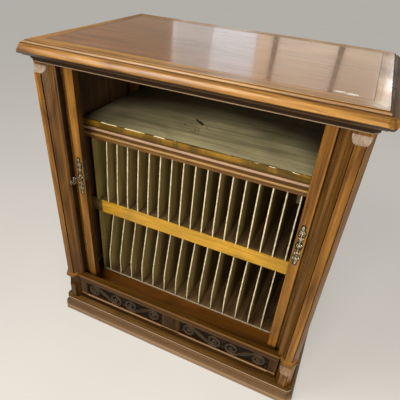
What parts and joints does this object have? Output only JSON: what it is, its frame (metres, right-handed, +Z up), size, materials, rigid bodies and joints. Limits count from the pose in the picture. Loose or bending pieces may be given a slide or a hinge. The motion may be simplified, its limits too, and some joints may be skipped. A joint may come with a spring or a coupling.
{
  "type": "record cabinet",
  "caption": "Wooden record cabinet with two sideways-rolling tambour doors, a top compartment and two tiers of upright record dividers behind them, carved frieze and moulded plinth.",
  "frame": {"origin": "on the floor, at the centre of the bounding box's underside", "axes": "+X to the right as one faces the doors, +Y to the back, +Z up"},
  "size_m": [1.0286, 0.6589, 1.1],
  "materials": {
    "walnut": "french-polished walnut",
    "carved_walnut": "carved walnut, waxed, dark in the hollows",
    "top_veneer": "polished figured walnut veneer",
    "carcass_wood": "stained secondary wood, dull",
    "pale_wood": "worn oiled pine",
    "rack_board": "thin plain board",
    "divider": "thin board with a pale lipped front edge",
    "bronze": "patinated, rubbed bright",
    "steel": "worn steel",
    "webbing": "linen webbing"
  },
  "bodies": {
    "cabinet": {"left_front_post": "walnut", "left_base_block": "walnut", "left_base_cap": "walnut", "left_side_frame": "walnut", "left_side_panel": "walnut", "left_frieze_panel": "carved_walnut", "left_rack_side": "rack_board", "plinth_left": "walnut", "right_front_post": "walnut", "right_base_block": "walnut", "right_base_cap": "walnut", "right_side_frame": "walnut", "right_side_panel": "walnut", "right_frieze_panel": "carved_walnut", "right_rack_side": "rack_board", "plinth_right": "walnut", "plinth_front": "walnut", "frieze_top_rail": "walnut", "frieze_frame": "walnut", "top_frame": "walnut", "bed_moulding": "walnut", "shelf_moulding": "walnut", "top_panel": "top_veneer", "track_board": "carcass_wood", "bottom_board": "carcass_wood", "back_panel": "carcass_wood", "middle_shelf": "carcass_wood", "middle_shelf_rail": "carcass_wood", "rack_back": "carcass_wood", "upper_shelf": "pale_wood", "middle_shelf_lipping": "pale_wood", "rack_base": "pale_wood", "upper_dividers": "divider", "lower_divider_01": "divider", "lower_divider_02": "divider", "lower_divider_03": "divider", "lower_divider_04": "divider", "lower_divider_05": "divider", "lower_divider_06": "divider", "lower_divider_07": "divider", "lower_divider_08": "divider", "lower_divider_09": "divider", "lower_divider_10": "divider", "lower_divider_11": "divider", "lower_divider_12": "divider", "lower_divider_13": "divider", "lower_divider_14": "divider", "lower_divider_15": "divider"},
    "left_door": {"left_door_stile": "walnut", "left_tambour_slats": "walnut", "left_tambour_tapes": "webbing", "left_finger_plate": "bronze", "lock_case": "steel"},
    "right_door": {"right_door_stile": "walnut", "right_tambour_slats": "walnut", "right_tambour_tapes": "webbing", "right_finger_plate": "bronze", "strike_plate": "steel"},
    "key_body": {"key": "steel"},
    "hook_bolt": {"lock_bolt": "steel"}
  },
  "joints": [
    {"name": "left_door_slide", "type": "slide", "parent": "cabinet", "child": "left_door", "axis": [1, 0, 0], "range_m": [0, 0.3667], "deforming": ["left_tambour_slats", "left_tambour_tapes"]},
    {"name": "right_door_slide", "type": "slide", "parent": "cabinet", "child": "right_door", "axis": [-1, 0, 0], "range_m": [0, 0.3667], "deforming": ["right_tambour_slats", "right_tambour_tapes"]},
    {"name": "key_turn", "type": "hinge", "parent": "left_door", "child": "key_body", "pos_m": [-0.381, -0.28, 0.66], "axis": [0, 1, 0], "range_deg": [0, 180]},
    {"name": "bolt_swing", "type": "hinge", "parent": "left_door", "child": "hook_bolt", "pos_m": [-0.378, -0.249, 0.688], "axis": [0, 1, 0], "range_deg": [0, 90]}
  ],
  "couplings": [
    {"joint": "bolt_swing", "follows": "key_turn", "ratio": 0.5}
  ]
}
